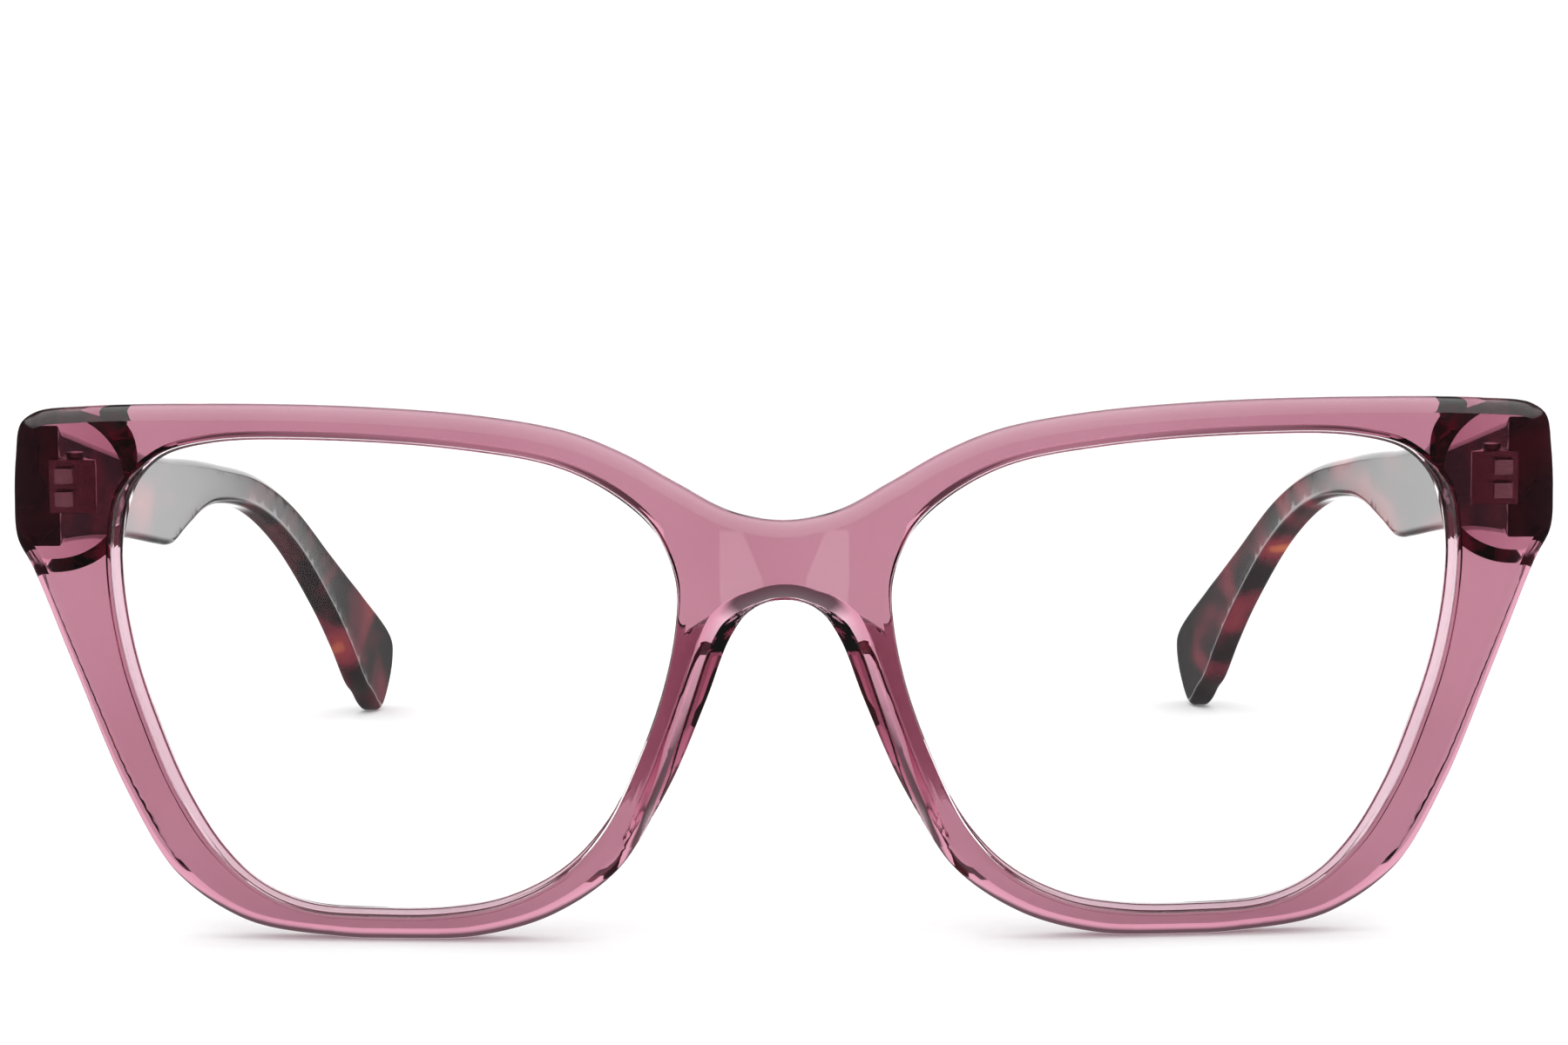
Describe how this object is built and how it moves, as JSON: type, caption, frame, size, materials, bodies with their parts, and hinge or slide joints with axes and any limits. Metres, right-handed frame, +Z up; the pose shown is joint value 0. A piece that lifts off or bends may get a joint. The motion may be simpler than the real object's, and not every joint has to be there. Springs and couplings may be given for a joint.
{
  "type": "spectacles",
  "caption": "Butterfly spectacles with a clear plum acetate front, plain lenses and slim dark tortoise temples that fold on barrel hinges.",
  "frame": {"origin": "centre of the bounding box's base, on the table under the spectacles, with both temples open", "axes": "+Z is up, +Y runs back along the temples, and -Y is the way the front faces; +X is the right of the picture, which is the wearer's left"},
  "size_m": [0.1444, 0.148, 0.0505],
  "materials": {
    "plum_acetate": "polished translucent plum crystal acetate",
    "tortoise_acetate": "polished dark tortoise acetate with red and amber flecks",
    "lens": "clear, uncoated, polished",
    "hinge_metal": "bright nickel silver",
    "core_steel": "drawn nickel silver wire"
  },
  "bodies": {
    "front": {"front_frame": "plum_acetate", "left_nose_pad": "plum_acetate", "right_nose_pad": "plum_acetate", "left_lens": "lens", "right_lens": "lens", "left_front_hinge": "hinge_metal", "right_front_hinge": "hinge_metal", "left_hinge_screw": "hinge_metal", "right_hinge_screw": "hinge_metal"},
    "left_temple": {"left_temple": "tortoise_acetate", "left_temple_hinge": "hinge_metal", "left_core_wire": "core_steel"},
    "right_temple": {"right_temple": "tortoise_acetate", "right_temple_hinge": "hinge_metal", "right_core_wire": "core_steel"}
  },
  "joints": [
    {"name": "left_temple_fold", "type": "hinge", "parent": "front", "child": "left_temple", "pos_m": [-0.06645, -0.06243, 0.0425], "axis": [0, 0, -1], "range_deg": [0, 82]},
    {"name": "right_temple_fold", "type": "hinge", "parent": "front", "child": "right_temple", "pos_m": [0.06645, -0.06243, 0.0425], "axis": [0, 0, 1], "range_deg": [0, 76]}
  ]
}
